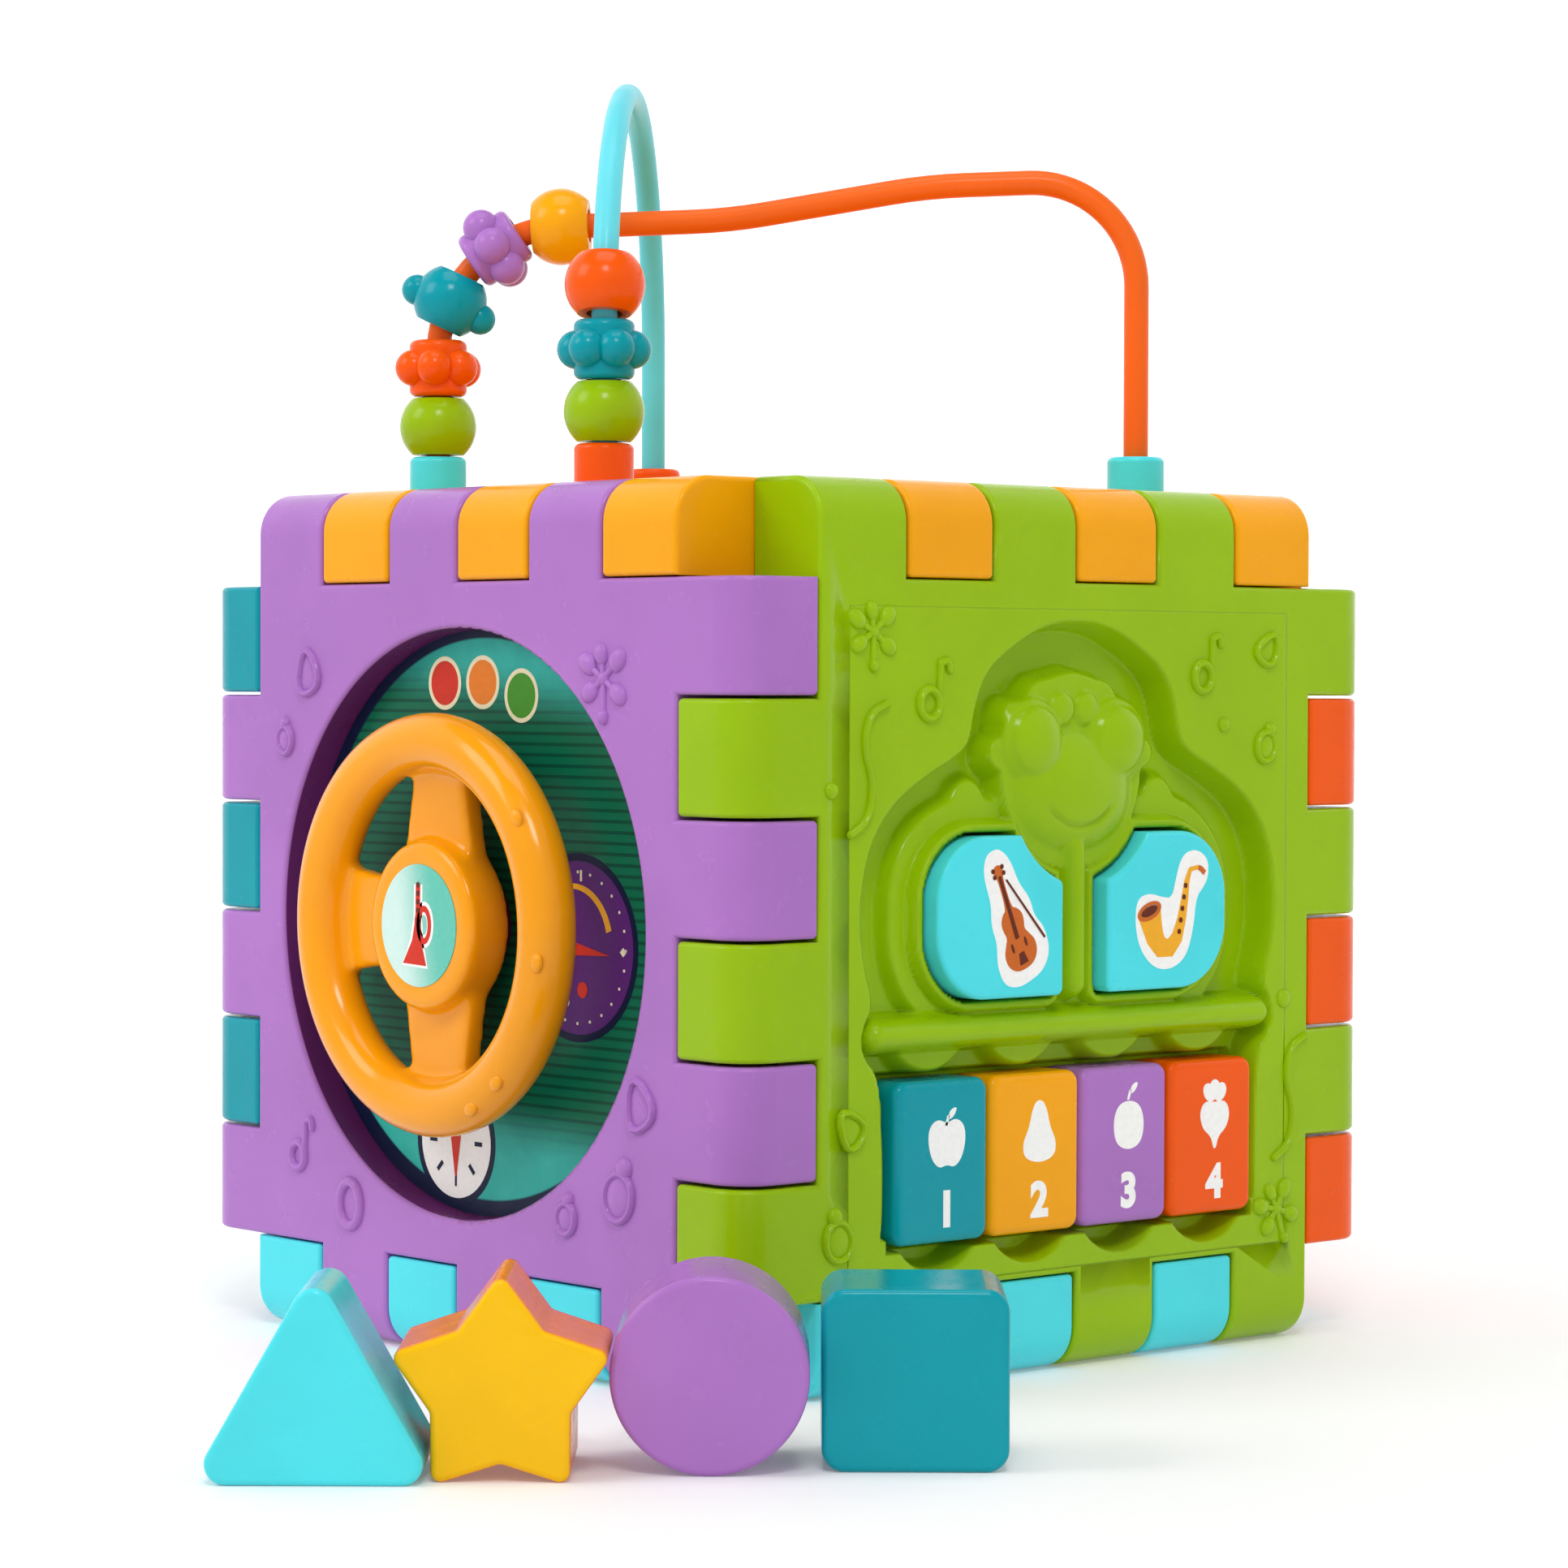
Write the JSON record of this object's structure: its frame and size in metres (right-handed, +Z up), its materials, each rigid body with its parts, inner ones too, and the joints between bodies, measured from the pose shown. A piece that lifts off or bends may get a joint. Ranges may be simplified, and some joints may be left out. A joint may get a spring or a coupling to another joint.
{
  "type": "baby activity cube",
  "caption": "Interlocking-panel activity cube for babies with a steering wheel, piano keys, bead maze, shape sorter, gears and loose shape blocks.",
  "frame": {"origin": "centre of the cube's base, on the surface it stands on", "axes": "+Z up, the steering panel faces -Y, the piano panel faces +X, the blocks stand in front of the +X -Y corner"},
  "size_m": [0.2492, 0.2907, 0.262],
  "materials": {
    "purple_plastic": "gloss",
    "green_plastic": "gloss",
    "amber_plastic": "gloss",
    "wheel_plastic": "gloss",
    "yellow_plastic": "gloss",
    "teal_plastic": "gloss",
    "cyan_plastic": "gloss",
    "orange_plastic": "gloss",
    "orange_coat": "semi-gloss coated rod",
    "cyan_coat": "semi-gloss coated rod",
    "printed_card": "satin print",
    "badge_print": "satin print",
    "black_plastic": "matte",
    "silicone": "matte",
    "board": "satin",
    "speaker_metal": "satin",
    "cell": "semi-gloss",
    "steel": "zinc plated"
  },
  "bodies": {
    "cube": {"steering_panel": "purple_plastic", "dial_card": "printed_card", "piano_panel": "green_plastic", "key_pad": "silicone", "circuit_board": "board", "piano_back_cover": "green_plastic", "cover_screws": "steel", "speaker": "speaker_metal", "batteries": "cell", "battery_contacts": "steel", "battery_door": "green_plastic", "battery_door_screw": "steel", "sorter_panel": "teal_plastic", "gear_panel": "orange_plastic", "gear_caps": "cyan_plastic", "gear_screws": "steel", "base_panel": "cyan_plastic"},
    "wheel": {"steering_wheel": "wheel_plastic", "wheel_badge": "badge_print", "wheel_washer": "steel", "wheel_screw": "steel"},
    "lid": {"bead_panel": "amber_plastic", "orange_wire": "orange_coat", "cyan_wire": "cyan_coat", "cyan_sockets": "cyan_plastic", "orange_sockets": "orange_plastic", "wire_screws": "steel"},
    "switch": {"power_switch": "black_plastic"},
    "key_teal": {"key_teal": "teal_plastic"},
    "key_yellow": {"key_yellow": "amber_plastic"},
    "key_purple": {"key_purple": "purple_plastic"},
    "key_orange": {"key_orange": "orange_plastic"},
    "wing_left": {"wing_button_left": "cyan_plastic"},
    "wing_right": {"wing_button_right": "cyan_plastic"},
    "arch_bead_green": {"arch_bead_green": "green_plastic"},
    "arch_bead_teal": {"arch_bead_teal": "teal_plastic"},
    "rail_bead_green": {"rail_bead_green": "green_plastic"},
    "rail_bead_orange": {"rail_bead_orange": "orange_plastic"},
    "rail_bead_teal": {"rail_bead_teal": "teal_plastic"},
    "rail_bead_purple": {"rail_bead_purple": "purple_plastic"},
    "arch_bead_orange": {"arch_bead_orange": "orange_plastic"},
    "rail_bead_yellow": {"rail_bead_yellow": "amber_plastic"},
    "gear_large": {"gear_large": "amber_plastic"},
    "gear_middle": {"gear_middle": "purple_plastic"},
    "gear_small": {"gear_small": "green_plastic"},
    "triangle_block": {"block_triangle": "cyan_plastic", "block_triangle_back": "cyan_plastic"},
    "star_block": {"block_star": "yellow_plastic", "block_star_back": "orange_plastic"},
    "disc_block": {"block_disc": "purple_plastic", "block_disc_back": "purple_plastic"},
    "square_block": {"block_square": "teal_plastic", "block_square_back": "teal_plastic"}
  },
  "joints": [
    {"name": "wheel_spin", "type": "hinge", "parent": "cube", "child": "wheel", "pos_m": [0, -0.0875, 0.0875], "axis": [0, -1, 0], "continuous": true},
    {"name": "lid_lift", "type": "slide", "parent": "cube", "child": "lid", "axis": [0, 0, 1], "range_m": [0, 0.1]},
    {"name": "switch_slide", "type": "slide", "parent": "cube", "child": "switch", "axis": [0, 1, 0], "range_m": [0, 0.004]},
    {"name": "key_teal_press", "type": "slide", "parent": "cube", "child": "key_teal", "axis": [-1, 0, 0], "range_m": [0, 0.002], "stiffness_N_per_m": 400, "springref_m": -0.001},
    {"name": "key_yellow_press", "type": "slide", "parent": "cube", "child": "key_yellow", "axis": [-1, 0, 0], "range_m": [0, 0.002], "stiffness_N_per_m": 400, "springref_m": -0.001},
    {"name": "key_purple_press", "type": "slide", "parent": "cube", "child": "key_purple", "axis": [-1, 0, 0], "range_m": [0, 0.002], "stiffness_N_per_m": 400, "springref_m": -0.001},
    {"name": "key_orange_press", "type": "slide", "parent": "cube", "child": "key_orange", "axis": [-1, 0, 0], "range_m": [0, 0.002], "stiffness_N_per_m": 400, "springref_m": -0.001},
    {"name": "wing_left_press", "type": "slide", "parent": "cube", "child": "wing_left", "axis": [-1, 0, 0], "range_m": [0, 0.0015], "stiffness_N_per_m": 400, "springref_m": -0.001},
    {"name": "wing_right_press", "type": "slide", "parent": "cube", "child": "wing_right", "axis": [-1, 0, 0], "range_m": [0, 0.0015], "stiffness_N_per_m": 400, "springref_m": -0.001},
    {"name": "arch_bead_green_spin", "type": "hinge", "parent": "lid", "child": "arch_bead_green", "pos_m": [0.01485, -0.06152, 0.1898], "axis": [0, 0, 1], "continuous": true},
    {"name": "arch_bead_teal_spin", "type": "hinge", "parent": "lid", "child": "arch_bead_teal", "pos_m": [0.01485, -0.06152, 0.202], "axis": [0, 0, 1], "continuous": true},
    {"name": "rail_bead_green_spin", "type": "hinge", "parent": "lid", "child": "rail_bead_green", "pos_m": [-0.05233, -0.05233, 0.1898], "axis": [0, 0, 1], "continuous": true},
    {"name": "rail_bead_orange_spin", "type": "hinge", "parent": "lid", "child": "rail_bead_orange", "pos_m": [-0.05233, -0.05233, 0.202], "axis": [0, 0, 1], "continuous": true},
    {"name": "rail_bead_teal_spin", "type": "hinge", "parent": "lid", "child": "rail_bead_teal", "pos_m": [-0.05053, -0.05053, 0.21663], "axis": [0.2985, 0.2985, 0.9065], "continuous": true},
    {"name": "rail_bead_purple_spin", "type": "hinge", "parent": "lid", "child": "rail_bead_purple", "pos_m": [-0.04372, -0.04372, 0.22782], "axis": [0.5894, 0.5894, 0.5524], "continuous": true},
    {"name": "arch_bead_orange_travel", "type": "hinge", "parent": "lid", "child": "arch_bead_orange", "pos_m": [-0.02334, -0.02334, 0.2054], "axis": [-0.7071, -0.7071, 0], "range_deg": [0, 158]},
    {"name": "rail_bead_yellow_travel", "type": "slide", "parent": "lid", "child": "rail_bead_yellow", "axis": [0.7067, 0.7067, 0.0355], "range_m": [0, 0.022]},
    {"name": "gear_large_spin", "type": "hinge", "parent": "cube", "child": "gear_large", "pos_m": [0.026, 0.0788, 0.1015], "axis": [0, 1, 0], "continuous": true},
    {"name": "gear_middle_spin", "type": "hinge", "parent": "cube", "child": "gear_middle", "pos_m": [-0.017, 0.0788, 0.07139], "axis": [0, 1, 0], "continuous": true},
    {"name": "gear_small_spin", "type": "hinge", "parent": "cube", "child": "gear_small", "pos_m": [-0.03696, 0.0788, 0.10594], "axis": [0, 1, 0], "continuous": true},
    {"name": "triangle_block_slide", "type": "slide", "parent": "cube", "child": "triangle_block", "axis": [0.749, -0.6626, 0], "range_m": [0, 0.1]},
    {"name": "star_block_lift", "type": "slide", "parent": "cube", "child": "star_block", "axis": [0, 0, 1], "range_m": [0, 0.1]},
    {"name": "disc_block_lift", "type": "slide", "parent": "cube", "child": "disc_block", "axis": [0, 0, 1], "range_m": [0, 0.1]},
    {"name": "square_block_lift", "type": "slide", "parent": "cube", "child": "square_block", "axis": [0, 0, 1], "range_m": [0, 0.1]}
  ],
  "couplings": [
    {"joint": "gear_middle_spin", "follows": "gear_large_spin", "ratio": -1.2727},
    {"joint": "gear_small_spin", "follows": "gear_large_spin", "ratio": 1.75}
  ]
}
